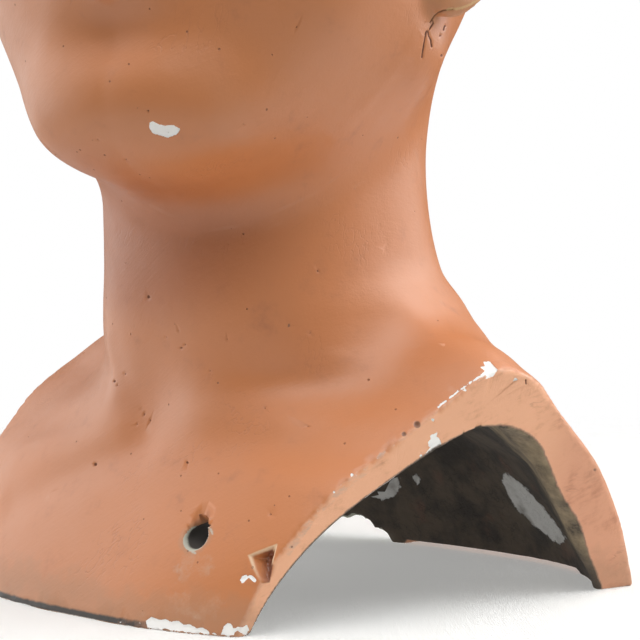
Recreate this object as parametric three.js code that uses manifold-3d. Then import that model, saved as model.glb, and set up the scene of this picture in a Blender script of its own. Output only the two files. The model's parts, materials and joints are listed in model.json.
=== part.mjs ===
// A life-size display head on its own bust, cast hollow in plaster as one piece.
// Millimetres, +Z up. The bust faces -Y and its left is +X. The figure looks a little to its left.
// The form is first worked out about the foot of the neck's axis, then set on its own middle.
import * as THREE from 'three';
import { mergeVertices } from 'three/addons/utils/BufferGeometryUtils.js';
import Module from 'manifold-3d';

const wasm = await Module();
wasm.setup();

const { clamp, degToRad, lerp, smoothstep } = THREE.MathUtils;

// Driving dimensions of the pose
const HEAD_YAW = degToRad(16); // the face is turned to the figure's left
const HEAD_TILT = degToRad(8); // and lifted
const HEAD_PIVOT = new THREE.Vector3(0, -6, 163); // on the neck's axis, level with the ear lobes
const HEAD_CENTRE = 222; // height from which the crown is shaped

// Thickness of the cast shell
const FRONT_WALL = 9;
const FRONT_FOOT_WALL = 4.5;
const BACK_WALL = 16;
const BACK_FOOT_WALL = 11;
const HEAD_WALL = 13;
const SIDE_WALL = 4; // more at the sides, until the arches are cleared
const CREST_WALL = 4.5; // and more again over the left arch

// The shoulders are sawn off by two flat faces
// distance is square to the face, lean tips it outwards, toe brings its front end inwards
const SAWN_FACES = [
  { side: 1, distance: 58.9, lean: degToRad(17.7), toe: degToRad(9.5) },
  { side: -1, distance: 72, lean: degToRad(17.7), toe: degToRad(6) },
];

// Small features
const SCREW_HOLE = { x: 33.5, y: -66, z: 25, radius: 3.8, rise: degToRad(5), turn: degToRad(1) };
const CORNER_PIT = {
  point: [55.2, -55.6, 19],
  rim: [[51.9, -61.3, 20.9], [57.9, -58, 24.1], [56.9, -59.3, 15.7]],
};
const FOOT_LIFT = 1.4; // the back edge bears on its two ends only
const BACK_FEET = { left: 50, right: -29.5 };
const BROKEN_FOOT_BITES = [
  { x: -39.5, z: -0.5, radius: 5.0 },
  { x: -46.0, z: 2.5, radius: 6.3 },
  { x: -54.5, z: 1.0, radius: 7.5 },
  { x: -66.5, z: 1.5, radius: 9.0 },
  { x: -79.5, z: 4.0, radius: 10.0 },
];

// The arch that each sawn face shows, as its inner edge from front to back
const ARCH_EDGE = [
  { y: -61.5, z: -6 },
  { y: -60, z: 6 },
  { y: -53, z: 18.5 },
  { y: -43, z: 29 },
  { y: -30, z: 38 },
  { y: -15, z: 47 },
  { y: -2, z: 51.5 },
  { y: 9, z: 51 },
  { y: 19, z: 46.5 },
  { y: 25.5, z: 39.5 },
  { y: 33, z: 30.5 },
  { y: 43, z: 21 },
  { y: 50, z: 11 },
  { y: 55.5, z: 4.4 },
  { y: 63, z: -6 },
];
const ARCH_DEPTH = 34; // how far the arch is cleared behind the sawn face

// Sections of the bust and of the neck. front and back are measured from the neck foot's axis, half is
// half the width, with right more on the figure's right, ridge is where the section is widest,
// squareFront and squareBack are the exponents of its superellipse.
const BUST = [
  { z: -16, front: 82, back: 100, half: 96, right: 22, ridge: 9, squareFront: 2.1, squareBack: 2.2 },
  { z: 0, front: 76.5, back: 98, half: 98, right: 20, ridge: 8, squareFront: 1.92, squareBack: 2.02 },
  { z: 18, front: 69, back: 96, half: 101, right: 18, ridge: 6, squareFront: 2.17, squareBack: 1.68 },
  { z: 37, front: 58.5, back: 90, half: 104, right: 16, ridge: 4, squareFront: 1.92, squareBack: 1.38 },
  { z: 47, front: 52, back: 83, half: 105, right: 12, ridge: 3, squareFront: 1.5, squareBack: 1.18 },
  { z: 56, front: 46, back: 74, half: 103, right: 4, ridge: 2, squareFront: 1.22, squareBack: 1.02 },
  { z: 62, front: 41, back: 67, half: 95, right: 0, ridge: 1, squareFront: 1.1, squareBack: 1 },
  { z: 67.5, front: 35, back: 58, half: 83, right: 0, ridge: 0, squareFront: 1.1, squareBack: 1 },
  { z: 74, front: 27, back: 47, half: 68, right: 0, ridge: 0, squareFront: 1.15, squareBack: 1.05 },
  { z: 82, front: 18, back: 34, half: 51, right: 0, ridge: 0, squareFront: 1.3, squareBack: 1.2 },
  { z: 92, front: 8, back: 18, half: 30, right: 0, ridge: 0, squareFront: 1.6, squareBack: 1.6 },
];
const NECK = [
  { z: 30, front: 41, back: 44, half: 46, right: 0, ridge: -1, squareFront: 2.2, squareBack: 2 },
  { z: 56, front: 44.5, back: 50, half: 50, right: 0, ridge: -1, squareFront: 2.4, squareBack: 2 },
  { z: 70, front: 47, back: 50.5, half: 50.5, right: 0, ridge: -2, squareFront: 2.45, squareBack: 2 },
  { z: 82, front: 49, back: 48.5, half: 49.3, right: 0, ridge: -3, squareFront: 2.35, squareBack: 2.05 },
  { z: 94, front: 50.5, back: 44.8, half: 46.8, right: 0, ridge: -4, squareFront: 2.3, squareBack: 2.1 },
  { z: 113, front: 51.5, back: 40.2, half: 46, right: 0, ridge: -6, squareFront: 2.25, squareBack: 2.1 },
  { z: 130, front: 52, back: 39.2, half: 46.6, right: 0, ridge: -7, squareFront: 2.2, squareBack: 2.1 },
  { z: 150, front: 53, back: 43.2, half: 48.8, right: 0, ridge: -6, squareFront: 2.1, squareBack: 2.1 },
  { z: 172, front: 49, back: 53.5, half: 51.5, right: 0, ridge: 0, squareFront: 2, squareBack: 2 },
  { z: 210, front: 40, back: 50, half: 48, right: 0, ridge: 0, squareFront: 2, squareBack: 2 },
];
const NECK_TOP = 195; // it ends inside the head
const NECK_SOFTNESS = 15; // how softly it grows out of the shoulders
const RIDGE_SOFTNESS = 6; // rounds a section where it is widest
const HOLLOW_SOFTNESS = 26;
const NECK_ROUNDING = 0.01; // next to none, because the neck's sections are round already
const SPINE_SOFTNESS = 14; // rounds it at the breast bone and the spine

// A smooth curve through one measure of the sections (a cubic with averaged slopes)
function sectionMeasure(sections, key) {
  const slope = sections.map((section, i) => {
    const below = sections[Math.max(i - 1, 0)];
    const above = sections[Math.min(i + 1, sections.length - 1)];
    return (above[key] - below[key]) / (above.z - below.z);
  });
  return (z) => {
    const height = clamp(z, sections[0].z, sections[sections.length - 1].z);
    let i = 0;
    while (i < sections.length - 2 && height > sections[i + 1].z) {
      i += 1;
    }
    const span = sections[i + 1].z - sections[i].z;
    const t = (height - sections[i].z) / span;
    const rise = sections[i + 1][key] - sections[i][key];
    const bend = span * slope[i] - rise;
    const flex = rise - span * slope[i + 1];
    return sections[i][key] + t * rise + t * (1 - t) * ((1 - t) * bend + t * flex);
  };
}

const softened = (distance, softness) => Math.hypot(distance, softness) - softness;

// Horizontal distance from a stack of sections, negative inside. A section is rounded where it is
// widest and, by spine, in the middle of its front and back.
function sectionStack(sections) {
  const front = sectionMeasure(sections, 'front');
  const back = sectionMeasure(sections, 'back');
  const half = sectionMeasure(sections, 'half');
  const right = sectionMeasure(sections, 'right');
  const ridge = sectionMeasure(sections, 'ridge');
  const squareFront = sectionMeasure(sections, 'squareFront');
  const squareBack = sectionMeasure(sections, 'squareBack');
  return (x, y, z, softness, spine) => {
    const offset = y - ridge(z);
    const isFront = offset < 0;
    const depth = isFront ? front(z) + ridge(z) : back(z) - ridge(z);
    const square = isFront ? squareFront(z) : squareBack(z);
    const width = x < 0 ? half(z) + right(z) : half(z);
    const across = softened(x, spine) / softened(width, spine);
    const along = softened(offset, softness) / softened(depth, softness);
    const scale = Math.pow(Math.pow(across, square) + Math.pow(along, square), 1 / square) + 1e-3;
    return Math.hypot(x, offset) * (1 - 1 / scale);
  };
}

const bustStack = sectionStack(BUST);
const neckStack = sectionStack(NECK);

function bustReach(x, y, z, softness) {
  return bustStack(x, y, z, softness, SPINE_SOFTNESS);
}

function neckReach(x, y, z) {
  return neckStack(x, y, z, NECK_ROUNDING, NECK_ROUNDING);
}

// A reach made a true distance near the surface by its own slope
function trueDistance(reach, x, y, z, softness) {
  const step = 0.5;
  const here = reach(x, y, z, softness);
  const slope = Math.hypot(
    (reach(x + step, y, z, softness) - here) / step,
    (reach(x, y + step, z, softness) - here) / step,
    (reach(x, y, z + step, softness) - here) / step,
  );
  return here / Math.max(slope, 0.5);
}

function trunk(x, y, z, softness) {
  const bust = trueDistance(bustReach, x, y, z, softness);
  const neck = trueDistance(neckReach, x, y, z);
  return Math.max(join(bust, neck, NECK_SOFTNESS), z - NECK_TOP);
}

// Clay: lumps are distances, negative inside
function lump(x, y, z, centre, radii) {
  const ux = (x - centre[0]) / radii[0];
  const uy = (y - centre[1]) / radii[1];
  const uz = (z - centre[2]) / radii[2];
  const size = Math.hypot(ux, uy, uz);
  const slope = Math.hypot(ux / radii[0], uy / radii[1], uz / radii[2]);
  return (size * (size - 1)) / (slope + 1e-6);
}

function roll(x, y, z, start, end, startRadius, endRadius) {
  const run = [end[0] - start[0], end[1] - start[1], end[2] - start[2]];
  const offset = [x - start[0], y - start[1], z - start[2]];
  const length = run[0] * run[0] + run[1] * run[1] + run[2] * run[2];
  const dot = offset[0] * run[0] + offset[1] * run[1] + offset[2] * run[2];
  const t = clamp(dot / length, 0, 1);
  const gap = Math.hypot(offset[0] - t * run[0], offset[1] - t * run[1], offset[2] - t * run[2]);
  return gap - lerp(startRadius, endRadius, t);
}

// A soft push of the surface, 1 at its centre
function dab(x, y, z, centre, radii) {
  const ux = (x - centre[0]) / radii[0];
  const uy = (y - centre[1]) / radii[1];
  const uz = (z - centre[2]) / radii[2];
  return Math.exp(-(ux * ux + uy * uy + uz * uz));
}

// A stroke of the finger, 1 along its line
function stroke(x, y, z, start, end, width) {
  const gap = roll(x, y, z, start, end, 0, 0);
  return Math.exp(-((gap / width) ** 2));
}

function join(a, b, softness) {
  const overlap = Math.max(softness - Math.abs(a - b), 0) / softness;
  return Math.min(a, b) - (overlap * overlap * softness) / 4;
}

// Head space: origin at the pivot, x to the figure's left, -y out of the face, z to the crown
const headTurn = new THREE.Matrix4()
  .makeRotationZ(HEAD_YAW)
  .multiply(new THREE.Matrix4().makeRotationX(-HEAD_TILT));
const headPlace = new THREE.Matrix4().makeTranslation(HEAD_PIVOT).multiply(headTurn);
const headPlaceBack = headPlace.clone().invert();

function headSpace(x, y, z) {
  const point = new THREE.Vector3(x, y, z).applyMatrix4(headPlaceBack);
  return [point.x, point.y, point.z];
}

// Skull, face and jaw. Both sides are alike, so a lump to one side is asked for at |x|.
function skull(x, y, z) {
  const side = Math.abs(x);
  let form = lump(x, y, z, [0, 10, 84], [74, 89, 87]);
  form = join(form, lump(x, y, z, [0, -20, 44], [62, 63, 80]), 22);
  form = join(form, lump(x, y, z, [0, -33, 0], [50, 48, 42]), 20);
  form = join(form, roll(side, y, z, [44, -14, -8], [14, -57, -31], 18, 15), 18);
  form = join(form, lump(x, y, z, [0, -57, -33], [24, 18, 15]), 16);
  form = join(form, lump(x, y, z, [0, -28, -24], [42, 42, 29]), 16);
  form = join(form, lump(side, y, z, [35, -42, 20], [28, 28, 34]), 18);
  form -= 1.8 * dab(side, y, z, [30, -66, -8], [16, 16, 20]);
  form -= 2.2 * stroke(side, y, z, [50, -54, -12], [31, -65, -40], 13);
  return form;
}

function face(x, y, z) {
  const side = Math.abs(x);
  let form = skull(x, y, z);
  // Brow, temples, eye sockets and cheekbones
  form -= 2.4 * dab(side, y, z, [26, -82, 80], [22, 22, 8]);
  form += 3.0 * dab(side, y, z, [66, -40, 84], [22, 30, 26]);
  form += 7.0 * dab(side, y, z, [28, -80, 63], [16, 24, 12]);
  form += 4.5 * dab(side, y, z, [13, -84, 64], [8, 18, 12]);
  form -= 2.5 * dab(side, y, z, [46, -62, 38], [18, 20, 12]);
  // Eyes: the ball under its lids
  form = join(form, lump(side, y, z, [30.5, -62, 60], [15, 14.5, 11]), 3);
  // Nose, whose underside slopes to the lip
  let nose = roll(x, y, z, [0, -80, 66], [0, -91.5, 33], 5, 6.5);
  nose = join(nose, lump(x, y, z, [0, -91.5, 28], [8.5, 10.5, 9]), 5);
  nose = join(nose, lump(side, y, z, [9, -84, 25], [6.8, 9.5, 7.5]), 4);
  nose = join(nose, lump(x, y, z, [0, -82, 20], [5, 8, 9]), 5);
  form = join(form, nose, 7);
  // Mouth: the muzzle's swell, two lips, the line between them and the hollow under them
  form -= 2.0 * dab(x, y, z, [0, -82, 4], [24, 20, 16]);
  let lips = roll(side, y, z, [4, -82.5, 5.8], [22, -73, 2.2], 4.4, 2.0);
  lips = join(lips, roll(side, y, z, [0, -81, -4.6], [20, -73, -0.8], 5.4, 2.2), 1.2);
  form = join(form, lips, 3);
  form += 2.6 * dab(x, y, z, [0, -88, 0.9], [24, 14, 1.9]);
  form += 1.6 * dab(side, y, z, [26, -74, 1], [5, 10, 6]);
  form += 1.3 * dab(x, y, z, [0, -88, 14], [3.5, 9, 6]);
  form += 3.2 * dab(x, y, z, [0, -80, -18], [19, 16, 8]);
  form -= 1.4 * dab(x, y, z, [0, -76, -36], [16, 14, 12]);
  return form;
}

// Ear, in its own space: x out of the head, y to the back, z up
const EAR_PLACE = new THREE.Vector3(70, -9, 29);
const EAR_FLARE = degToRad(-20);
const EAR_RAKE = degToRad(-8);
const EAR_HALF_HEIGHT = 33;
const EAR_HALF_WIDTH = 17;
const EAR_LOBE_SLIDE = 6; // how far the lobe lies forward of the middle
const EAR_MIDDLE = new THREE.Vector3(-4, 0, 0); // in the thickness of its plate

// A plate with an egg-shaped outline, its outer face raised into the folds, its back run into the head
function ear(x, y, z) {
  const slide = 2 * smoothstep(z, 0, 30) - EAR_LOBE_SLIDE * smoothstep(-z, 2, 33);
  const across = y - slide;
  const oval = Math.hypot(across / EAR_HALF_WIDTH, z / EAR_HALF_HEIGHT);
  const helix = (1 - smoothstep(-z, 8, 22)) * (1 - smoothstep(-across, 4, 10) * smoothstep(8 - z, 0, 8));
  let height = 1.5 + 4.2 * helix * Math.exp(-(((oval - 0.87) / 0.1) ** 2));
  height -= 1.2 * helix * smoothstep(across, -8, 0) * Math.exp(-(((oval - 0.66) / 0.09) ** 2));
  height += 2.8 * stroke(0, y, z, [0, 0, 15], [0, 8, 3], 3.2);
  height += 2.4 * stroke(0, y, z, [0, 8, 1], [0, 4, -13], 3.2);
  height += 2.2 * stroke(0, y, z, [0, -12, 5], [0, -4, 3], 2.4);
  height -= 3.6 * dab(0, y, z, [0, -2, -4], [1, 7, 9]);
  height += 4.2 * dab(0, y, z, [0, -12, -6], [1, 3.5, 5.5]);
  height += 1.6 * dab(0, y, z, [0, -5, -25], [1, 8, 7]);
  const back = -3.2 - 7 * (1 - smoothstep(oval, 0.4, 0.85));
  const plate = -join(height - x, x - back, 2.5);
  return -join(-plate, (1 - oval) * 15, 3);
}

// Sternal notch, collar bones, neck tendons, the hollows between them and the shoulders' crest
function bustRelief(x, y, z) {
  const side = Math.abs(x);
  let push = 2.2 * dab(x, y, z, [-3, -50, 58], [12, 14, 12]);
  push -= 0.7 * dab(side, y, z, [20, -50, 55], [9, 12, 6]);
  push -= 0.8 * dab(side, y, z, [45, -42, 54], [22, 14, 5]);
  push += 1.2 * dab(side, y, z, [40, -34, 65], [20, 14, 7]);
  push += 1.5 * stroke(x, y, z, [-2, -53, 45], [-50, -62, 25], 6.5);
  push -= 1.2 * stroke(x, y, z, [-14, -51, 50], [-58, -53, 38], 8);
  push -= 0.8 * stroke(x, y, z, [-27, -42, 72], [-19, -47, 58], 4);
  push -= 4.6 * stroke(side, y, z, [48, 31, 80], [73, 12, 72], 14);
  push -= 1.9 * stroke(side, y, z, [87, 24, 55], [83, 44, 40], 11);
  push -= 1.8 * dab(x, y, z, [-92, -24, 52], [14, 16, 14]);
  return push;
}

// The outside without the ears
function body(x, y, z) {
  const [headX, headY, headZ] = headSpace(x, y, z);
  return join(trunk(x, y, z, RIDGE_SOFTNESS), face(headX, headY, headZ), 13) + bustRelief(x, y, z);
}

// The hollow: the trunk less its wall, opened into the skull and the face
function hollow(x, y, z) {
  const foot = smoothstep(z, -5, 35);
  const wall = lerp(lerp(FRONT_FOOT_WALL, FRONT_WALL, foot), lerp(BACK_FOOT_WALL, BACK_WALL, foot),
    smoothstep(y, -45, 5)) + SIDE_WALL * smoothstep(Math.abs(x), 45, 80);
  const crest = CREST_WALL * dab(x, y, z, [82, 2, 57], [18, 22, 14]);
  const neckWall = lerp(wall, HEAD_WALL, smoothstep(z, 70, 110)) + crest;
  const [headX, headY, headZ] = headSpace(x, y, z);
  const crown = lump(headX, headY, headZ, [0, 9, 84], [74, 89, 87].map((r) => r - HEAD_WALL));
  const front = lump(headX, headY, headZ, [0, -20, 46], [45, 50, 56]);
  const head = join(crown, front, 20);
  return join(trunk(x, y, z, HOLLOW_SOFTNESS) + neckWall, head, 20);
}

// Rows of rays that leave the neck's axis. The lower ones dip to the front, so that they meet the
// underside of the jaw squarely. The last ones turn up to the crown.
const DIP_START = 100;
const DIP_FULL = 140;
const DIP_FADE = 165;
const DIP_MOST = degToRad(27);
const ROW_STOPS = [
  { share: 0, height: -12, lift: 0 },
  { share: 0.13, height: 58, lift: 0 },
  { share: 0.22, height: 90, lift: 0 },
  { share: 0.29, height: 136, lift: 0 },
  { share: 0.36, height: 165, lift: 0 },
  { share: 0.68, height: HEAD_CENTRE, lift: 0 },
  { share: 0.79, height: HEAD_CENTRE, lift: degToRad(24) },
  { share: 1, height: HEAD_CENTRE, lift: degToRad(90) },
];

function rayRow(share) {
  const next = Math.max(ROW_STOPS.findIndex((stop) => stop.share >= share), 1);
  const from = ROW_STOPS[next - 1];
  const to = ROW_STOPS[next];
  const t = (share - from.share) / (to.share - from.share);
  const height = lerp(from.height, to.height, t);
  const dipIn = clamp((height - DIP_START) / (DIP_FULL - DIP_START), 0, 1);
  const dipOut = smoothstep(height, DIP_FADE, HEAD_CENTRE);
  return { height, dip: DIP_MOST * dipIn * (1 - dipOut), lift: lerp(from.lift, to.lift, t) };
}

function rayDirection(angle, ray) {
  const lift = ray.lift - (ray.dip * (1 + Math.cos(angle))) / 2;
  const turned = angle + HEAD_YAW * smoothstep(ray.height, 70, 160);
  return new THREE.Vector3(
    Math.cos(lift) * Math.sin(turned),
    -Math.cos(lift) * Math.cos(turned),
    Math.sin(lift),
  );
}

// Where the ray, followed from outside inwards, first meets the form
const BODY_RAYS = { reach: 135, stride: 3 };
const EAR_RAYS = { reach: 44, stride: 0.5 };
const HALVINGS = 12;

function surfacePoint(form, start, direction, { reach, stride }) {
  const point = new THREE.Vector3();
  const outsideAt = (distance) => {
    point.copy(start).addScaledVector(direction, distance);
    return form(point.x, point.y, point.z) > 0;
  };
  let outer = reach;
  while (outer > stride && outsideAt(outer - stride)) {
    outer -= stride;
  }
  let inner = outer - stride;
  for (let halving = 0; halving < HALVINGS; halving += 1) {
    const middle = (inner + outer) / 2;
    if (outsideAt(middle)) {
      outer = middle;
    } else {
      inner = middle;
    }
  }
  return point.copy(start).addScaledVector(direction, inner);
}

// A closed skin on a form: a sphere's grid laid on the rays, with a flat bottom
function skin(form, { columns, rows, crowding }) {
  const sphere = new THREE.SphereGeometry(1, columns, rows);
  const grid = sphere.attributes.position;
  for (let i = 0; i < grid.count; i += 1) {
    const column = (i % (columns + 1)) % columns;
    const row = rows - Math.floor(i / (columns + 1));
    const even = (2 * Math.PI * column) / columns;
    const ray = rayRow(Math.max(row - 1, 0) / (rows - 1));
    const start = new THREE.Vector3(0, 0, ray.height);
    if (row > 0) {
      const crowd = crowding * smoothstep(ray.height, 80, 140);
      const angle = row === rows ? 0 : even - crowd * Math.sin(even);
      start.copy(surfacePoint(form, start, rayDirection(angle, ray), BODY_RAYS));
    }
    grid.setXYZ(i, start.x, start.y, start.z);
  }
  return sphere;
}

// An ear's skin, on rays from its middle. The right ear is the left one's mirror image.
function earSkin(isRight) {
  const sphere = new THREE.SphereGeometry(1, 20, 11);
  const grid = sphere.attributes.position;
  for (let i = 0; i < grid.count; i += 1) {
    const direction = new THREE.Vector3().fromBufferAttribute(grid, i);
    direction.set(direction.y * 0.32, -direction.x, direction.z * 1.9).normalize();
    const point = surfacePoint(ear, EAR_MIDDLE, direction, EAR_RAYS);
    grid.setXYZ(i, point.x, point.y, point.z);
  }
  sphere.rotateX(EAR_RAKE).rotateZ(EAR_FLARE).translate(...EAR_PLACE);
  if (isRight) {
    sphere.scale(-1, 1, 1);
    const order = sphere.index.array;
    for (let i = 0; i < order.length; i += 3) {
      [order[i], order[i + 1]] = [order[i + 1], order[i]];
    }
  }
  return sphere.applyMatrix4(headPlace);
}

// Solids for joining and cutting
function solid(geometry) {
  const bare = geometry.clone();
  bare.deleteAttribute('normal');
  bare.deleteAttribute('uv');
  const merged = mergeVertices(bare, 1e-4);
  const mesh = new wasm.Mesh({
    numProp: 3,
    vertProperties: new Float32Array(merged.attributes.position.array),
    triVerts: new Uint32Array(merged.index.array),
  });
  return new wasm.Manifold(mesh);
}

function geometryOf(manifold) {
  const mesh = manifold.getMesh();
  const geometry = new THREE.BufferGeometry();
  geometry.setAttribute('position', new THREE.BufferAttribute(mesh.vertProperties, 3));
  geometry.setIndex(new THREE.BufferAttribute(mesh.triVerts, 1));
  geometry.computeVertexNormals();
  return geometry;
}

// What was sawn off a shoulder: a block whose near face is the sawn face
function shoulderBlock({ side, distance, lean, toe }) {
  const thickness = 120;
  const breadth = 320;
  const block = new THREE.BoxGeometry(thickness, breadth, breadth);
  block.translate(distance + thickness / 2, 0, 0).rotateY(lean);
  return block.rotateZ(side > 0 ? -toe : Math.PI + toe);
}

// The ground below the foot, and the lift between the two ends of the back edge
function groundBlock() {
  return new THREE.BoxGeometry(300, 300, 60).translate(0, 0, -30);
}

function footLift() {
  const width = BACK_FEET.left - BACK_FEET.right;
  const block = new THREE.BoxGeometry(width, 80, 2 * FOOT_LIFT);
  return block.translate((BACK_FEET.left + BACK_FEET.right) / 2, 85, 0);
}

// One bite of the broken corner goes through the back wall along y
function bite({ x, z, radius }) {
  return new THREE.CylinderGeometry(radius, radius, 90, 20).translate(x, 80, z);
}

// The clearance of an arch, as deep as the wall is thick there
function archTunnel({ side, distance }) {
  const edge = new THREE.SplineCurve(ARCH_EDGE.map(({ y, z }) => new THREE.Vector2(y, z)));
  const arch = new THREE.Shape(edge.getPoints(30));
  const tunnel = new THREE.ExtrudeGeometry(arch, { depth: 2 * ARCH_DEPTH, bevelEnabled: false });
  tunnel.applyMatrix4(new THREE.Matrix4().set(0, 0, 1, 0, 1, 0, 0, 0, 0, 1, 0, 0, 0, 0, 0, 1));
  return tunnel.translate(side * (distance + ARCH_DEPTH / 2) - ARCH_DEPTH, 0, 0);
}

// The hole in the left breast is drilled nearly level
function screwHole() {
  const { x, y, z, radius, rise, turn } = SCREW_HOLE;
  const drill = new THREE.CylinderGeometry(radius, radius, 44, 18);
  return drill.rotateX(rise).rotateZ(turn).translate(x, y, z);
}

// The three-sided pit knocked out of the near front corner, run on past the surface
function cornerPit() {
  const point = new THREE.Vector3(...CORNER_PIT.point);
  const rim = CORNER_PIT.rim.map((corner) => new THREE.Vector3(...corner).lerp(point, -0.6));
  const pit = new THREE.BufferGeometry().setFromPoints([point, ...rim]);
  return pit.setIndex([1, 3, 2, 0, 1, 2, 0, 2, 3, 0, 3, 1]);
}

function headAndBust() {
  let casting = solid(skin(body, { columns: 56, rows: 60, crowding: 0.68 }));
  casting = casting.add(solid(earSkin(false))).add(solid(earSkin(true)));
  casting = casting.subtract(solid(skin(hollow, { columns: 36, rows: 24, crowding: 0 })));
  const cutters = [screwHole(), cornerPit(), footLift(), groundBlock()];
  cutters.push(...SAWN_FACES.map(shoulderBlock), ...SAWN_FACES.map(archTunnel));
  cutters.push(...BROKEN_FOOT_BITES.map(bite));
  for (const cutter of cutters) {
    casting = casting.subtract(solid(cutter));
  }
  return casting;
}

const paintedPlaster = new THREE.MeshStandardMaterial({
  color: 0xc98a62,
  roughness: 0.48,
  metalness: 0,
});

// Stand the casting with the middle of its own box over the origin
const casting = geometryOf(headAndBust());
casting.computeBoundingBox();
const middle = casting.boundingBox.getCenter(new THREE.Vector3());
casting.translate(-middle.x, -middle.y, 0);

const headBust = new THREE.Mesh(casting, paintedPlaster);
headBust.name = 'head_and_bust';

const group = new THREE.Group();
group.add(headBust);

export default group;
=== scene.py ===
"""A worn display head on its own bust, hollow plaster under skin-coloured paint."""

import json
import math

import bmesh
import bpy
import numpy as np
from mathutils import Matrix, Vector
from mathutils.bvhtree import BVHTree

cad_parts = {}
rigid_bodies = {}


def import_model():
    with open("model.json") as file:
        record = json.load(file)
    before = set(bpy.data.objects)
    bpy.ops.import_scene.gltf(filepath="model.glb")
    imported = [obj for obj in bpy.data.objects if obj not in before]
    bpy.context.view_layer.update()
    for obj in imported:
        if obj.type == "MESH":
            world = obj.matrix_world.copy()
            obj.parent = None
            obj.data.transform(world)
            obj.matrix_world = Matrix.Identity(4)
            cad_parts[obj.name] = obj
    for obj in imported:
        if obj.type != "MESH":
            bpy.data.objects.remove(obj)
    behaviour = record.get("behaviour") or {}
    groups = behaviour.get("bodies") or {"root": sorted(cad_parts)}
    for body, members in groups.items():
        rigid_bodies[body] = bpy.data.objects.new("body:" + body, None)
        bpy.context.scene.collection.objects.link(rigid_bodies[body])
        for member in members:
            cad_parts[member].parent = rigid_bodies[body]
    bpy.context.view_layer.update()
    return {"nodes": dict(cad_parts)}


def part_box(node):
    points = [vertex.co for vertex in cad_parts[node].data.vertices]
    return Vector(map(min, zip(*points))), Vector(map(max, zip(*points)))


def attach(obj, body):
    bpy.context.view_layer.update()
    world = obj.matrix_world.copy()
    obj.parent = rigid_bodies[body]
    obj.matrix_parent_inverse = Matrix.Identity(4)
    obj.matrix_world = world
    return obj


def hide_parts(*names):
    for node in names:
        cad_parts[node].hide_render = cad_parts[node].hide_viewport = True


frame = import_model()
for loaded in bpy.context.scene.objects:
    loaded.select_set(False)

MM = 0.001

# The camera stands low, level with the throat, off the figure's left front. Places are counted from
# the neck's foot, the point on the table that the casting was shaped about. The frame gives it: the
# casting reaches so far to the figure's left of it, and so far behind it.
LEFT_REACH = 84.92
BACK_REACH = 102.39
low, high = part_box("head_and_bust")
NECK_FOOT = np.array([high[0] / MM - LEFT_REACH, high[1] / MM - BACK_REACH, 0.0])

CAMERA_FROM_NECK = (490.0, -474.0, 114.0)
CAMERA_AZIMUTH = math.radians(45)
CAMERA_PITCH = math.radians(3)
PHOTO_WIDTH = 640
PHOTO_FOCAL = 2325.0
SENSOR = 36.0

camera_data = bpy.data.cameras.new("camera")
camera_data.sensor_width = SENSOR
camera_data.lens = PHOTO_FOCAL / PHOTO_WIDTH * SENSOR
camera = bpy.data.objects.new("camera", camera_data)
camera.location = (np.array(CAMERA_FROM_NECK) + NECK_FOOT) * MM
camera.rotation_euler = (math.pi / 2 - CAMERA_PITCH, 0, CAMERA_AZIMUTH)
bpy.context.collection.objects.link(camera)
bpy.context.scene.camera = camera

# The casting. Head, neck and bust were slip-cast as one hollow plaster shell, open below, and the
# shoulders were sawn off flat. Its form is worked out as a distance, negative inside, in millimetres
# about the neck's foot, and a fine mesh is laid on it.
HEAD_YAW = math.radians(16)
HEAD_TILT = math.radians(8)
HEAD_PIVOT = np.array([0.0, -6.0, 163.0])
FRONT_WALL = 9.0
FRONT_FOOT_WALL = 4.5
BACK_WALL = 16.0
BACK_FOOT_WALL = 11.0
HEAD_WALL = 13.0
SIDE_WALL = 4.0
CREST_WALL = 4.5

# height, front, back, half width, more on the right, ridge, squareness in front and behind
BUST = [
    (-16, 82, 100, 96, 22, 9, 2.1, 2.2),
    (0, 76.5, 98, 98, 20, 8, 1.92, 2.02),
    (18, 69, 96, 101, 18, 6, 2.17, 1.68),
    (37, 58.5, 90, 104, 16, 4, 1.92, 1.38),
    (47, 52, 83, 105, 12, 3, 1.5, 1.18),
    (56, 46, 74, 103, 4, 2, 1.22, 1.02),
    (62, 41, 67, 95, 0, 1, 1.1, 1),
    (67.5, 35, 58, 83, 0, 0, 1.1, 1),
    (74, 27, 47, 68, 0, 0, 1.15, 1.05),
    (82, 18, 34, 51, 0, 0, 1.3, 1.2),
    (92, 8, 18, 30, 0, 0, 1.6, 1.6),
    (102, 3, 8, 14, 0, 0, 1.8, 1.8),
    (116, 1, 3, 5, 0, 0, 1.9, 1.9),
]
NECK = [
    (30, 41, 44, 46, 0, -1, 2.2, 2),
    (56, 44.5, 50, 50, 0, -1, 2.4, 2),
    (70, 47, 50.5, 50.5, 0, -2, 2.45, 2),
    (82, 49, 48.5, 49.3, 0, -3, 2.35, 2.05),
    (94, 50.5, 44.8, 46.8, 0, -4, 2.3, 2.1),
    (113, 51.5, 40.2, 46, 0, -6, 2.25, 2.1),
    (130, 52, 39.2, 46.6, 0, -7, 2.2, 2.1),
    (150, 53, 43.2, 48.8, 0, -6, 2.1, 2.1),
    (172, 49, 53.5, 51.5, 0, 0, 2, 2),
    (210, 40, 50, 48, 0, 0, 2, 2),
]
NECK_TOP = 195.0
NECK_SOFTNESS = 15.0
RIDGE_SOFTNESS = 6.0
HOLLOW_SOFTNESS = 26.0
SPINE_SOFTNESS = 14.0
JAW_SOFTNESS = 13.0
EAR_SOFTNESS = 2.5
SAW_SOFTNESS = 0.9
FOOT_SOFTNESS = 0.6


def ease(value, start, end):
    """0 before start, 1 after end, smooth between."""
    t = np.clip((value - start) / (end - start), 0, 1)
    return t * t * (3 - 2 * t)


def mix(a, b, share):
    return a + (b - a) * share


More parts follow.
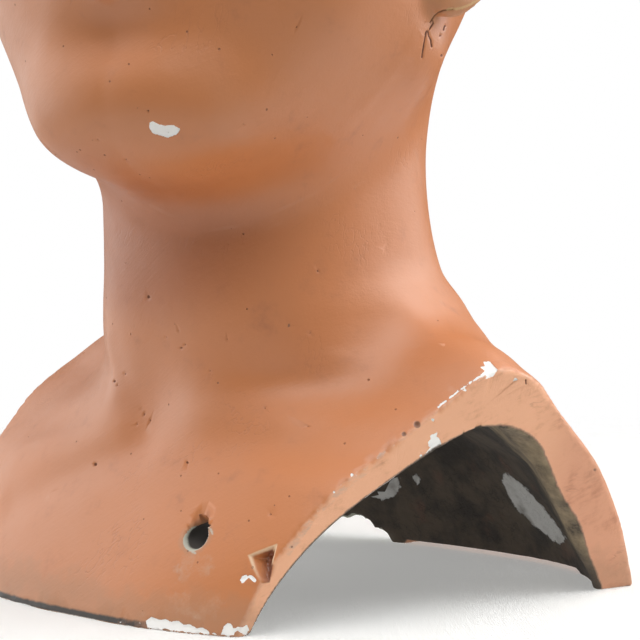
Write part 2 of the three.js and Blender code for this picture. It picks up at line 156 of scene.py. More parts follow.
def join(a, b, softness):
    """The nearer of two forms, with a soft seam."""
    overlap = np.maximum(softness - np.abs(a - b), 0) / softness
    return np.minimum(a, b) - overlap * overlap * softness / 4


def cut(a, b, softness):
    """What is inside both forms, with a soft edge."""
    return -join(-a, -b, softness)


def measure(sections, column):
    """A smooth curve through one column of the sections."""
    heights = np.array([row[0] for row in sections], float)
    values = np.array([row[column] for row in sections], float)
    before = np.maximum(np.arange(len(heights)) - 1, 0)
    after = np.minimum(np.arange(len(heights)) + 1, len(heights) - 1)
    slopes = (values[after] - values[before]) / (heights[after] - heights[before])

    def curve(z):
        z = np.clip(z, heights[0], heights[-1])
        i = np.clip(np.searchsorted(heights, z) - 1, 0, len(heights) - 2)
        span = heights[i + 1] - heights[i]
        t = (z - heights[i]) / span
        rise = values[i + 1] - values[i]
        bend = span * slopes[i] - rise
        flex = rise - span * slopes[i + 1]
        return values[i] + t * rise + t * (1 - t) * ((1 - t) * bend + t * flex)

    return curve


def softened(distance, softness):
    return np.hypot(distance, softness) - softness


def stack(sections, spine):
    """Horizontal distance from a stack of superellipses."""
    front, back, half, right, ridge, square_front, square_back = (
        measure(sections, column) for column in range(1, 8)
    )

    def reach(p, softness):
        x, y, z = p[:, 0], p[:, 1], p[:, 2]
        middle = ridge(z)
        offset = y - middle
        depth = np.where(offset < 0, front(z) + middle, back(z) - middle)
        square = np.where(offset < 0, square_front(z), square_back(z))
        width = half(z) + np.where(x < 0, right(z), 0)
        across = softened(x, spine) / softened(width, spine)
        along = softened(offset, softness) / softened(depth, softness)
        scale = (across**square + along**square) ** (1 / square) + 1e-3
        return np.hypot(x, offset) * (1 - 1 / scale)

    return reach


bust_reach = stack(BUST, SPINE_SOFTNESS)
neck_reach = stack(NECK, 0.01)


def evened(reach, p, softness):
    """A reach made a true distance near its surface."""
    step = 0.5
    here = reach(p, softness)
    slope = [(reach(p + step * axis, softness) - here) / step for axis in np.eye(3)]
    return here / np.maximum(np.sqrt(sum(part**2 for part in slope)), 0.5)


def trunk(p, softness):
    """Distance from the neck rising out of the bust."""
    bust = evened(bust_reach, p, softness)
    neck = evened(neck_reach, p, 0.01)
    return np.maximum(join(bust, neck, NECK_SOFTNESS), p[:, 2] - NECK_TOP)


def lump(x, y, z, centre, radii):
    """Distance from an ellipsoid of clay."""
    ux = (x - centre[0]) / radii[0]
    uy = (y - centre[1]) / radii[1]
    uz = (z - centre[2]) / radii[2]
    size = np.sqrt(ux * ux + uy * uy + uz * uz)
    slope = np.sqrt((ux / radii[0]) ** 2 + (uy / radii[1]) ** 2 + (uz / radii[2]) ** 2)
    return size * (size - 1) / (slope + 1e-6)


def roll(x, y, z, start, end, start_radius, end_radius):
    """Distance from a tapered roll of clay."""
    run = np.subtract(end, start)
    dx, dy, dz = x - start[0], y - start[1], z - start[2]
    t = np.clip((dx * run[0] + dy * run[1] + dz * run[2]) / (run @ run), 0, 1)
    gap = np.sqrt((dx - t * run[0]) ** 2 + (dy - t * run[1]) ** 2 + (dz - t * run[2]) ** 2)
    return gap - mix(start_radius, end_radius, t)


def dab(x, y, z, centre, radii):
    """A thumb's push, 1 in the middle."""
    ux = (x - centre[0]) / radii[0]
    uy = (y - centre[1]) / radii[1]
    uz = (z - centre[2]) / radii[2]
    return np.exp(-(ux * ux + uy * uy + uz * uz))


def stroke(x, y, z, start, end, width):
    """A finger's stroke, 1 along its line."""
    return np.exp(-((roll(x, y, z, start, end, 0, 0) / width) ** 2))


def turn_about(axis, angle):
    """The turn about the x or the z axis."""
    c, s = math.cos(angle), math.sin(angle)
    if axis == "x":
        return np.array([[1, 0, 0], [0, c, -s], [0, s, c]])
    return np.array([[c, -s, 0], [s, c, 0], [0, 0, 1]])


HEAD_TURN = turn_about("z", HEAD_YAW) @ turn_about("x", -HEAD_TILT)


def skull(x, y, z):
    """Distance from the head without its features: crown, cheeks, jaw and chin."""
    side = np.abs(x)
    form = lump(x, y, z, (0, 10, 84), (74, 89, 87))
    form = join(form, lump(x, y, z, (0, -20, 44), (62, 63, 80)), 22)
    form = join(form, lump(x, y, z, (0, -33, 0), (50, 48, 42)), 20)
    form = join(form, roll(side, y, z, (44, -14, -8), (14, -57, -31), 18, 15), 18)
    form = join(form, lump(x, y, z, (0, -57, -33), (24, 18, 15)), 16)
    form = join(form, lump(x, y, z, (0, -28, -24), (42, 42, 29)), 16)
    form = join(form, lump(side, y, z, (35, -42, 20), (28, 28, 34)), 18)
    form -= 1.8 * dab(side, y, z, (30, -66, -8), (16, 16, 20))
    return form - 2.2 * stroke(side, y, z, (50, -54, -12), (31, -65, -40), 13)


# The eyes lie in their sockets under two lids that meet at the corners
EYE_X = 30.5
EYE_Z = 60.0
EYE_HALF = 14.5


def eyelids(side, y, z):
    """How far the lids' folds push the surface in."""
    along = (side - EYE_X) / EYE_HALF
    bow = np.clip(1 - along * along, 0, 1)
    facing = ease(-y, 58, 66) * (np.abs(along) < 1.6)
    upper = EYE_Z + 0.6 * along + 5.4 * bow**0.75
    lower = EYE_Z + 0.6 * along - 3.6 * bow**0.9
    opening = ease(upper - z, -0.5, 0.9) * ease(z - lower, -0.5, 0.9) * ease(bow, 0, 0.25)
    fold_height = EYE_Z + 1.5 + 8.6 * np.clip(1 - 0.75 * along * along, 0, 1)
    fold = np.exp(-(((z - fold_height) / 1.3) ** 2)) * ease(1.25 - np.abs(along), 0, 0.4)
    rim = np.exp(-(((z - upper - 1.2) / 1.0) ** 2)) * ease(bow, 0, 0.3)
    return facing * (1.3 * opening + 1.1 * fold - 0.5 * rim)


def face(x, y, z):
    """Distance from the head with sockets, eyes, nose, lips and chin."""
    side = np.abs(x)
    form = skull(x, y, z)
    form -= 2.4 * dab(side, y, z, (26, -82, 80), (22, 22, 8))
    form += 3.0 * dab(side, y, z, (66, -40, 84), (22, 30, 26))
    form += 7.0 * dab(side, y, z, (28, -80, 63), (16, 24, 12))
    form += 4.5 * dab(side, y, z, (13, -84, 64), (8, 18, 12))
    form -= 2.5 * dab(side, y, z, (46, -62, 38), (18, 20, 12))
    form = join(form, lump(side, y, z, (30.5, -62, 60), (15, 14.5, 11)), 3)
    nose = roll(x, y, z, (0, -80, 66), (0, -91.5, 33), 5, 6.5)
    nose = join(nose, lump(x, y, z, (0, -91.5, 28), (8.5, 10.5, 9)), 5)
    nose = join(nose, lump(side, y, z, (9, -84, 25), (6.8, 9.5, 7.5)), 4)
    nose = join(nose, lump(x, y, z, (0, -82, 20), (5, 8, 9)), 5)
    form = join(form, nose, 7)
    form -= 2.0 * dab(x, y, z, (0, -82, 4), (24, 20, 16))
    lips = roll(side, y, z, (4, -82.5, 5.8), (22, -73, 2.2), 4.4, 2.0)
    lips = join(lips, roll(side, y, z, (0, -81, -4.6), (20, -73, -0.8), 5.4, 2.2), 1.2)
    form = join(form, lips, 3)
    form += 2.6 * dab(x, y, z, (0, -88, 0.9), (24, 14, 1.9))
    form += 1.6 * dab(side, y, z, (26, -74, 1), (5, 10, 6))
    form += 1.3 * dab(x, y, z, (0, -88, 14), (3.5, 9, 6))
    form += 3.2 * dab(x, y, z, (0, -80, -18), (19, 16, 8))
    form -= 1.4 * dab(x, y, z, (0, -76, -36), (16, 14, 12))
    form += 3.4 * dab(side, y, z, (6.2, -87, 17.5), (2.8, 5, 3.6))
    return form + eyelids(side, y, z)


EAR_PLACE = np.array([70.0, -9.0, 29.0])
EAR_TURN = turn_about("x", math.radians(8)) @ turn_about("z", math.radians(20))
EAR_HALF_HEIGHT = 33.0
EAR_HALF_WIDTH = 17.0
EAR_LOBE_SLIDE = 6.0


def ear(head):
    """Both ears, asked for on the left one: an egg-shaped plate raised into the folds."""
    left = head.copy()
    left[:, 0] = np.abs(left[:, 0])
    q = (left - EAR_PLACE) @ EAR_TURN.T
    x, y, z = q[:, 0], q[:, 1], q[:, 2]
    flat = np.zeros(len(q))
    across = y - 2 * ease(z, 0, 30) + EAR_LOBE_SLIDE * ease(-z, 2, 33)
    oval = np.hypot(across / EAR_HALF_WIDTH, z / EAR_HALF_HEIGHT)
    helix = (1 - ease(-z, 8, 22)) * (1 - ease(-across, 4, 10) * ease(8 - z, 0, 8))
    height = 1.5 + 4.2 * helix * np.exp(-(((oval - 0.87) / 0.1) ** 2))
    height -= 1.2 * helix * ease(across, -8, 0) * np.exp(-(((oval - 0.66) / 0.09) ** 2))
    height += 2.8 * stroke(flat, y, z, (0, 0, 15), (0, 8, 3), 3.2)
    height += 2.4 * stroke(flat, y, z, (0, 8, 1), (0, 4, -13), 3.2)
    height += 2.2 * stroke(flat, y, z, (0, -12, 5), (0, -4, 3), 2.4)
    height -= 3.6 * dab(flat, y, z, (0, -2, -4), (1, 7, 9))
    height += 4.2 * dab(flat, y, z, (0, -12, -6), (1, 3.5, 5.5))
    height += 1.6 * dab(flat, y, z, (0, -5, -25), (1, 8, 7))
    back = -3.2 - 7 * (1 - ease(oval, 0.4, 0.85))
    return cut(cut(x - height, back - x, 2.5), (oval - 1) * 15, 3)


def bust_relief(x, y, z):
    """The notch of the breast bone, the collar bones and the hollows over them."""
    side = np.abs(x)
    push = 2.2 * dab(x, y, z, (-3, -50, 58), (12, 14, 12))
    push -= 0.7 * dab(side, y, z, (20, -50, 55), (9, 12, 6))
    push -= 0.8 * dab(side, y, z, (45, -42, 54), (22, 14, 5))
    push += 1.2 * dab(side, y, z, (40, -34, 65), (20, 14, 7))
    push += 1.5 * stroke(x, y, z, (-2, -53, 45), (-50, -62, 25), 6.5)
    push -= 1.2 * stroke(x, y, z, (-14, -51, 50), (-58, -53, 38), 8)
    push -= 0.8 * stroke(x, y, z, (-27, -42, 72), (-19, -47, 58), 4)
    push -= 4.3 * stroke(side, y, z, (48, 31, 80), (73, 12, 72), 14)
    push -= 1.5 * dab(side, y, z, (60, 23, 76), (13, 13, 11))
    push -= 1.5 * stroke(side, y, z, (88, 18, 60), (79, 58, 22), 14)
    return push - 1.8 * dab(x, y, z, (-92, -24, 52), (14, 16, 14))


def outside(p):
    """Distance from the casting's skin, before it is hollowed and sawn."""
    head = (p - HEAD_PIVOT) @ HEAD_TURN
    body = join(trunk(p, RIDGE_SOFTNESS), face(head[:, 0], head[:, 1], head[:, 2]), JAW_SOFTNESS)
    body = body + bust_relief(p[:, 0], p[:, 1], p[:, 2])
    near = np.where((head[:, 2] > -12) & (head[:, 2] < 72) & (np.abs(head[:, 0]) > 50))[0]
    if len(near):
        body[near] = join(body[near], ear(head[near]), EAR_SOFTNESS)
    return body


def cavity(p):
    """Distance from the hollow, its wall thicker behind and at the shoulders."""
    x, y, z = p[:, 0], p[:, 1], p[:, 2]
    foot = ease(z, -5, 35)
    front = mix(FRONT_FOOT_WALL, FRONT_WALL, foot)
    back = mix(BACK_FOOT_WALL, BACK_WALL, foot)
    wall = mix(front, back, ease(y, -45, 5)) + SIDE_WALL * ease(np.abs(x), 45, 80)
    wall = mix(wall, HEAD_WALL, ease(z, 70, 110))
    wall = wall + CREST_WALL * dab(x, y, z, (82, 2, 57), (18, 22, 14))
    head = (p - HEAD_PIVOT) @ HEAD_TURN
    hx, hy, hz = head[:, 0], head[:, 1], head[:, 2]
    crown = lump(hx, hy, hz, (0, 9, 84), (74 - HEAD_WALL, 89 - HEAD_WALL, 87 - HEAD_WALL))
    brow = lump(hx, hy, hz, (0, -20, 46), (45, 50, 56))
    return join(trunk(p, HOLLOW_SOFTNESS) + wall, join(crown, brow, 20), 20)


# The saw left a flat face on each shoulder, and the hollow shows in it as an arch
SAWN_FACES = [
    {"side": 1, "distance": 58.9, "lean": math.radians(17.7), "toe": math.radians(9.5)},
    {"side": -1, "distance": 72.0, "lean": math.radians(17.7), "toe": math.radians(6)},
]
ARCH_EDGE = [
    (-61.5, -6), (-60, 6), (-53, 18.5), (-43, 29), (-30, 38), (-15, 47), (-2, 51.5),
    (9, 51), (19, 46.5), (25.5, 39.5), (33, 30.5), (43, 21), (50, 11), (55.5, 4.4), (63, -6),
]
ARCH_DEPTH = 34.0


def saw_side(p, face_of):
    """Distance beyond a sawn face."""
    lean, toe = face_of["lean"], face_of["toe"]
    normal = (
        face_of["side"] * math.cos(lean) * math.cos(toe),
        -math.cos(lean) * math.sin(toe),
        -math.sin(lean),
    )
    return p @ np.array(normal) - face_of["distance"]


def spline(points, steps):
    """Evenly sampled Catmull-Rom curve."""
    points = np.array(points, float)
    out = []
    for t in np.linspace(0, len(points) - 1, steps):
        i = min(int(t), len(points) - 2)
        w = t - i
        a, b, c, d = (points[min(max(i + k, 0), len(points) - 1)] for k in (-1, 0, 1, 2))
        v0, v1 = (c - a) / 2, (d - b) / 2
        out.append(
            (2 * b - 2 * c + v0 + v1) * w**3 + (-3 * b + 3 * c - 2 * v0 - v1) * w**2 + v0 * w + b
        )
    return np.array(out)


ARCH_LINE = spline(ARCH_EDGE, 61)


def arch(p):
    """Distance from the arches' clearance."""
    form = np.full(len(p), 50.0)
    near = np.where((np.abs(p[:, 0]) > 32) & (p[:, 2] < 62))[0]
    if not len(near):
        return form
    y, z = p[near, 1], p[near, 2]
    best = np.full(len(near), 1e9)
    crossings = np.zeros(len(near), int)
    loop = np.vstack([ARCH_LINE, ARCH_LINE[:1]])
    for (y0, z0), (y1, z1) in zip(loop[:-1], loop[1:]):
        dy, dz = y1 - y0, z1 - z0
        t = np.clip(((y - y0) * dy + (z - z0) * dz) / (dy * dy + dz * dz), 0, 1)
        best = np.minimum(best, np.hypot(y - y0 - t * dy, z - z0 - t * dz))
        spans = (z0 > z) != (z1 > z)
        crossings += spans & (y < y0 + (z - z0) * dy / (dz if dz else 1e-9))
    form[near] = np.where(crossings % 2 == 1, -best, best)
    ends = []
    for face_of in SAWN_FACES:
        middle = face_of["side"] * (face_of["distance"] + ARCH_DEPTH / 2)
        ends.append(np.abs(p[:, 0] - middle) - ARCH_DEPTH)
    return np.maximum(form, np.minimum(*ends))


# The foot: its back edge bears on its two ends, and its right back corner is broken away in bites
FOOT_LIFT = 1.4
BACK_FEET = (-29.5, 50.0)
BITES = [(-39.5, -0.5, 5), (-46, 2.5, 6.3), (-54.5, 1, 7.5), (-66.5, 1.5, 9), (-79.5, 4, 10)]
SCREW_PLACE = np.array([33.5, -66.0, 25.0])
SCREW_RADIUS = 3.8
SCREW_REACH = 22.0
SCREW_DROP = 1.1
SCREW_SQUASH = 1.28
SCREW_AXIS = turn_about("z", math.radians(1)) @ turn_about("x", math.radians(5)) @ (0, 1, 0)
PIT_POINT = np.array([55.2, -55.6, 19.0])
PIT_RIM = np.array([[51.9, -61.3, 20.9], [57.9, -58, 24.1], [56.9, -59.3, 15.7]])


def broken(p):
    """Distance from the bites of the broken corner, ragged."""
    x, y, z = p[:, 0], p[:, 1], p[:, 2]
    grain = 0.5 * np.sin(1.9 * x + 1.3 * np.sin(0.8 * y)) + 0.4 * np.sin(3.1 * x - 0.9 * y + z)
    form = np.full(len(p), 90.0)
    for bite_x, bite_z, radius in BITES:
        form = np.minimum(form, np.hypot(x - bite_x, z - bite_z) - radius)
    return np.maximum(form + 0.8 * grain, 35 - y)


def bore(p):
    """Distance from the screw hole's wall."""
    from_screw = p - SCREW_PLACE
    along = from_screw @ SCREW_AXIS
    across = from_screw - along[:, None] * SCREW_AXIS
    across[:, 2] = (across[:, 2] + SCREW_DROP) * SCREW_SQUASH
    return np.maximum(np.linalg.norm(across, axis=1) - SCREW_RADIUS, np.abs(along) - SCREW_REACH)


def pit(p):
    """Distance from the three-sided pit in the front corner."""
    edges = PIT_RIM - PIT_POINT
    sides = []
    for first, second, third in ((0, 1, 2), (1, 2, 0), (2, 0, 1)):
        normal = np.cross(edges[first], edges[second])
        normal *= -np.sign(normal @ edges[third]) / np.linalg.norm(normal)
        sides.append((p - PIT_POINT) @ normal)
    return np.max(sides, axis=0)


def foot_lift(p):
    """Distance from the gap under the back edge, between its two feet."""
    x, y, z = p[:, 0], p[:, 1], p[:, 2]
    right, left = BACK_FEET
    between = np.maximum(np.abs(x - (left + right) / 2) - (left - right) / 2, 45 - y)
    return np.maximum(between, z - FOOT_LIFT)


def casting_form(p):
    """Distance from the finished casting."""
    form = cut(outside(p), -join(cavity(p), arch(p), 1.5), 1.6)
    for face_of in SAWN_FACES:
        form = cut(form, saw_side(p, face_of), SAW_SOFTNESS)
    for hole, softness in ((broken, 0.8), (foot_lift, 0.8), (bore, 0.5), (pit, 0.4)):
        form = cut(form, -hole(p), softness)
    return cut(form, -p[:, 2], FOOT_SOFTNESS)


LONGEST_MOVE = 1.2


def settle(points, turns):
    """Moves points onto the casting's surface."""
    step = 0.15
    for _ in range(turns):
        here = casting_form(points)
        slope = np.stack([(casting_form(points + step * axis) - here) / step for axis in np.eye(3)], 1)
        size = np.maximum((slope**2).sum(axis=1), 0.25)
        move = (here / size)[:, None] * slope
        length = np.linalg.norm(move, axis=1, keepdims=True)
        points = points - move * np.minimum(1, LONGEST_MOVE / np.maximum(length, 1e-9))
    return points


VOXEL = 1.4 * MM
MOST_TRIANGLES = 150000

solid = frame["nodes"]["head_and_bust"]
mesh = solid.data.copy()
casting = bpy.data.objects.new("plaster_casting", mesh)
bpy.context.collection.objects.link(casting)
work = bmesh.new()
work.from_mesh(mesh)
bmesh.ops.remove_doubles(work, verts=work.verts, dist=1e-6)
work.to_mesh(mesh)
work.free()
bpy.context.view_layer.objects.active = casting
casting.select_set(True)
remesh = casting.modifiers.new("even", "REMESH")
remesh.mode = "VOXEL"
remesh.voxel_size = VOXEL
bpy.ops.object.modifier_apply(modifier=remesh.name)


def places():
    """The casting's points in millimetres about the neck's foot."""
    flat = np.empty(len(casting.data.vertices) * 3)
    casting.data.vertices.foreach_get("co", flat)
    return flat.reshape(-1, 3) / MM - NECK_FOOT


def place_at(points):
    """Puts the casting's points where they are given."""
    casting.data.vertices.foreach_set("co", ((points + NECK_FOOT) * MM).ravel())
    casting.data.update()


place_at(settle(places(), 4))
thin = casting.modifiers.new("thin", "DECIMATE")
thin.ratio = min(1, MOST_TRIANGLES / (2 * len(casting.data.polygons)))
bpy.ops.object.modifier_apply(modifier=thin.name)
place_at(settle(places(), 1))

# Years of handling left chips down to the white plaster, pinholes, cracks by the ear, dents and two
# smears of repair plaster inside. Each is drawn where the photograph shows it, in its pixels.
MM_PER_PIXEL = 0.293
CHIP_LINE_HALF_WIDTH = 0.7
FRAME_MARGIN = 30
SIGHT_TOLERANCE = 1.5
CHIPS = [
    [(149.5, 123), (152.5, 121.5), (158, 124.5), (165, 126), (172.5, 125), (180, 129), (176, 135),
     (167.5, 137.5), (159, 135), (153, 133), (149.5, 128)],
    [(484, 362), (490, 361), (494, 366), (498, 370), (493, 376), (486, 379), (487.5, 374.5),
     (480, 375), (485, 370.5), (480, 367), (485.5, 366)],
    [(430, 440), (432, 434), (436, 438), (441, 438), (440.5, 446), (436, 450), (425, 454.5),
     (431, 447), (427, 445)],
    [(146, 620), (152, 617), (158, 620), (165, 619), (171, 622), (178, 621), (184, 625), (190, 624.5),
     (196, 628), (203, 628), (209, 632), (211, 650), (180, 650), (150, 640)],
    [(221, 636), (224, 627), (227, 623), (231, 624), (233, 629), (238, 627), (243, 628), (247, 625),
     (249, 630), (252, 650), (222, 650)],
    [(240.5, 580), (242, 576.5), (246, 575), (247.5, 578), (244.5, 581.5), (242, 583)],
    [(248.5, 576.5), (251, 575.5), (256.5, 580), (255, 582), (252, 580)],
]
CHIP_SPECKS = [
    (485.5, 386, 1.6), (516, 380.5, 1.8), (433, 420, 1.2), (352, 475, 1.3), (465, 390, 1.2),
    (433, 427, 0.9), (214, 636, 3.0), (218, 640, 3.4), (436, 432.5, 1.0), (421, 456, 1.1),
    (334, 492, 0.9), (200, 631, 1.6), (140, 622, 1.0), (120, 622, 0.9), (76, 611, 1.0),
]
CHIP_LINES = [
    [(438, 407), (442, 403.5), (446, 401)],
    [(450, 397.5), (455, 394), (458, 391)],
    [(461, 389.5), (466, 385.5), (471, 382)],
    [(474, 380.5), (479, 377), (484, 375)],
]
PALE_RIMS = [
    [(202, 526), (207, 526.5), (211, 530), (212.5, 534)],
    [(186, 546), (190, 550.5), (195, 553)],
    [(457, 9), (463, 7.5), (470, 4.5), (479, 0), (488, -5)],
    [(447, 9.8), (452, 8.6), (457, 9)],
]
PINHOLES = [
    (296, 27, 1.8), (267, 83, 0.9), (148, 111, 1.2), (244, 124, 0.9), (97, 140, 0.9),
    (126, 160, 0.8), (251, 261, 1.9), (148, 297, 1.9), (318, 271, 1.3), (384, 249, 1.0),
    (164, 314, 1.2), (178, 330, 1.1), (166, 337, 1.0), (181, 348, 1.3), (185, 345, 0.9),
    (227, 339, 1.0), (232, 354, 1.0), (310, 333, 1.0), (125, 374, 1.1), (114, 381, 1.4),
    (117, 385, 0.9), (84, 352, 0.8), (210, 371, 1.0), (265, 408, 1.0), (308, 426, 0.9),
    (95, 464, 1.8), (187, 462, 1.5), (270, 514, 1.5), (87, 585, 1.7), (57, 549, 1.8),
    (131, 522, 1.2), (455, 52, 1.2), (442.2, 55.6, 1.4), (560, 457, 1.0), (610, 520, 1.1),
    (144, 414, 1.3), (150, 420, 1.0), (140, 409, 0.9), (137, 424, 0.8), (440.6, 35.6, 1.2),
]
DENTS = [(417, 424.5, 3.6), (404, 434, 2.4), (288, 325, 2.2), (526, 387, 1.6), (595, 470, 1.4)]
CRACKS = [
    [(430.5, 23), (432.5, 19.5), (434.4, 16.7), (437.8, 13.3), (442.2, 11.2), (447.8, 10), (453, 9.4)],
    [(433.3, 20.6), (433.8, 23.3), (432.2, 25.6), (430, 29.4)],
    [(425, 33.3), (426.7, 30.6), (428.3, 31.7), (428.9, 35.6), (431.1, 40), (432, 47.2)],
    [(426.1, 32.2), (425.2, 38.9), (423.9, 46.7), (422.8, 53.3), (422.2, 57.8)],
    [(445.6, 25.6), (443.9, 30)],
    [(526, 380), (527, 388), (526, 395)],
]
SCRATCHES = [
    [(230, 262), (262, 247), (296, 226), (332, 200), (370, 178)],
    [(204, 231), (240, 226), (275, 212), (312, 195), (350, 168)],
    [(252, 236), (290, 219), (318, 205)],
    [(150, 205), (170, 215), (196, 219)],
    [(415, 150), (421, 180), (427, 215), (430, 258)],
    [(408, 171), (413, 195), (420, 232)],
    [(440, 300), (452, 330), (469, 362)],
    [(446, 318), (459, 340), (480, 372)],
    [(50, 394), (56, 405), (62, 414)],
    [(545, 430), (563, 455), (580, 492)],
    [(552, 425), (574, 455), (592, 490)],
    [(560, 425), (582, 452), (600, 486)],
    [(570, 440), (588, 470), (603, 505)],
    [(540, 400), (556, 412), (570, 428)],
]
RIDGES = [[(333, 140), (348, 124), (366, 104), (384, 83), (402, 59), (413, 44), (423, 31)]]
REPAIRS = [
    [(500, 475), (508, 472), (520, 482), (533, 496), (546, 510), (556, 524), (567, 540),
     (560, 545), (549, 538), (535, 527), (521, 514), (508, 497)],
    [(366, 497), (378, 482), (392, 474), (402, 478), (398, 494), (384, 500)],
    [(412, 476), (417, 473), (421, 480), (418, 486), (413, 483)],
]
SCUFFS = [
    [(182, 556), (196, 551), (210, 556), (216, 566), (204, 578), (186, 582), (176, 570)],
    [(165, 596), (190, 588), (222, 596), (226, 612), (200, 618), (170, 612)],
    [(140, 606), (158, 600), (170, 608), (160, 618), (142, 616)],
]
GREY_SCRAPES = [
    [(285, 557), (291, 543), (303, 528), (314, 514), (320, 511), (311, 527), (299, 543), (289, 558)],
    [(322, 506), (336, 492), (350, 480), (364, 470), (374, 461), (385, 446), (388, 449), (378, 464),
     (366, 475), (351, 486), (338, 498), (325, 509)],
]


# Knocks out of the photograph's sight: places about the neck's foot, and how far each reaches
KNOCKS = [
    (24.6, -99.5, 184.5, 1.4), (27.4, -97.6, 181.0, 0.8), (-84.5, -20.0, 190.5, 1.8),
    (-60.0, -52.0, 21.0, 2.4), (-64.0, -47.0, 32.0, 1.5), (-62.0, -56.0, 4.0, 3.2),
    (-30.0, 84.0, 55.0, 1.1), (21.0, 93.0, 3.0, 2.6), (34.0, 91.0, 2.0, 1.8),
    (-8.0, 96.5, 1.5, 2.2), (40.0, 60.0, 282.0, 1.5), (-20.0, 92.0, 240.0, 1.2),
]


def line_gap(points, line):
    """How far each point is from a line."""
    best = np.full(len(points), 1e9)
    for start, end in zip(line[:-1], line[1:]):
        run = np.subtract(end, start)
        t = np.clip(((points - start) @ run) / (run @ run), 0, 1)
        best = np.minimum(best, np.linalg.norm(points - start - t[:, None] * run, axis=1))
    return best


def outline_gap(points, outline):
    """How far each point is outside a closed outline, negative inside."""
    closed = list(outline) + [outline[0]]
    inside = np.zeros(len(points), bool)
    for (x0, y0), (x1, y1) in zip(closed[:-1], closed[1:]):
        spans = (y0 > points[:, 1]) != (y1 > points[:, 1])
        crossing = x0 + (points[:, 1] - y0) * (x1 - x0) / ((y1 - y0) or 1e-9)
        inside ^= spans & (points[:, 0] < crossing)
    gap = line_gap(points, closed)
    return np.where(inside, -gap, gap)


def photographed(points):
    """The pixel that each point shows at."""
    turn = np.array(camera.rotation_euler.to_matrix())
    seen = ((points + NECK_FOOT) * MM - np.array(camera.location)) @ turn
    return PHOTO_WIDTH / 2 + PHOTO_FOCAL * np.stack([-seen[:, 0], seen[:, 1]], 1) / seen[:, 2:]


def in_view(points):
    """Which points the camera sees, a hair's tolerance given."""
    tree = BVHTree.FromPolygons(
        [vertex.co for vertex in casting.data.vertices],
        [polygon.vertices for polygon in casting.data.polygons],
    )
    eye = Vector(camera.location)
    seen = np.zeros(len(points), bool)
    pixels = photographed(points)
    framed = np.where((np.abs(pixels - PHOTO_WIDTH / 2) < PHOTO_WIDTH / 2 + FRAME_MARGIN).all(axis=1))[0]
    for index in framed:
        ray = Vector((points[index] + NECK_FOOT) * MM) - eye
        hit = tree.ray_cast(eye, ray.normalized())
        seen[index] = hit[0] is not None and hit[3] > ray.length - SIGHT_TOLERANCE * MM
    return seen, pixels


# Gaps beyond this are all the same to the paint
FAR = 60.0


def marks(points):
    """Gaps from each kind of mark, in millimetres, far where the camera doesn't see."""
    seen, pixels = in_view(points)
    shown = pixels[seen]

    def spread(gap):
        whole = np.full(len(points), FAR)
        whole[seen] = gap * MM_PER_PIXEL
        return whole

    def specks(spots):
        return np.min([np.linalg.norm(shown - spot[:2], axis=1) - spot[2] for spot in spots], axis=0)

    chips = np.min([outline_gap(shown, outline) for outline in CHIPS], axis=0)
    chip_lines = np.min([line_gap(shown, line) for line in CHIP_LINES], axis=0)
    chips = np.minimum(chips, chip_lines - CHIP_LINE_HALF_WIDTH)
    return {
        "chip_gap": spread(np.minimum(chips, specks(CHIP_SPECKS))),
        "pinhole_gap": spread(specks(PINHOLES)),
        "dent_gap": spread(specks(DENTS)),
        "crack_gap": spread(np.min([line_gap(shown, line) for line in CRACKS], axis=0)),
        "scratch_gap": spread(np.min([line_gap(shown, line) for line in SCRATCHES], axis=0)),
        "ridge_gap": spread(np.min([line_gap(shown, line) for line in RIDGES], axis=0)),
        "pale_gap": spread(np.min([line_gap(shown, line) for line in PALE_RIMS], axis=0)),
        "scuff_gap": spread(np.min([outline_gap(shown, outline) for outline in SCUFFS], axis=0)),
        "scrape_gap": spread(np.min([outline_gap(shown, outline) for outline in GREY_SCRAPES], axis=0)),
        "repair_gap": spread(np.min([outline_gap(shown, outline) for outline in REPAIRS], axis=0)),
    }


def refine(near, longest):
    """Halves the long edges of the casting near the marks."""
    work = bmesh.new()
    work.from_mesh(casting.data)
    work.verts.ensure_lookup_table()
    chosen = [
        edge for edge in work.edges
        if near[edge.verts[0].index] and near[edge.verts[1].index] and edge.calc_length() > longest * MM
    ]
    bmesh.ops.subdivide_edges(work, edges=chosen, cuts=1, use_grid_fill=True)
    bmesh.ops.triangulate(work, faces=work.faces[:])
    work.to_mesh(casting.data)
    work.free()


def sawn_off(p):
    """Distance beyond the nearer sawn face."""
    return np.maximum(*(saw_side(p, face_of) for face_of in SAWN_FACES))


def rim_gap(p):
    """How far each point is from a sharp rim: the arches', the screw hole's and the pit's."""
    arches = np.maximum(np.abs(np.minimum(cavity(p), arch(p))), np.abs(sawn_off(p)))
    return np.minimum(arches, np.minimum(np.abs(bore(p)), np.abs(pit(p))))


for longest, reach in ((1.0, 2.2), (0.5, 1.4)):
    points = places()
    gaps = marks(points)
    fine = [gaps[name] for name in ("chip_gap", "pinhole_gap", "dent_gap", "crack_gap", "pale_gap")]
    near = np.min(fine + [gaps["scratch_gap"] + 0.6], axis=0) < reach
    refine(near | (rim_gap(points) < reach), longest)

points = settle(places(), 1)
place_at(points)
gaps = marks(points)
normals = np.empty(len(points) * 3)
casting.data.vertices.foreach_get("normal", normals)
depth = 0.35 * ease(-gaps["chip_gap"], -0.05, 0.3)
depth += 0.45 * ease(-gaps["pinhole_gap"], -0.15, 0.2)
depth += 0.7 * ease(-gaps["dent_gap"], -0.1, 0.9)
depth += 0.3 * ease(0.45 - gaps["crack_gap"], 0, 0.4)
depth -= 0.35 * np.exp(-((gaps["ridge_gap"] / 1.3) ** 2))
place_at(points - depth[:, None] * normals.reshape(-1, 3))

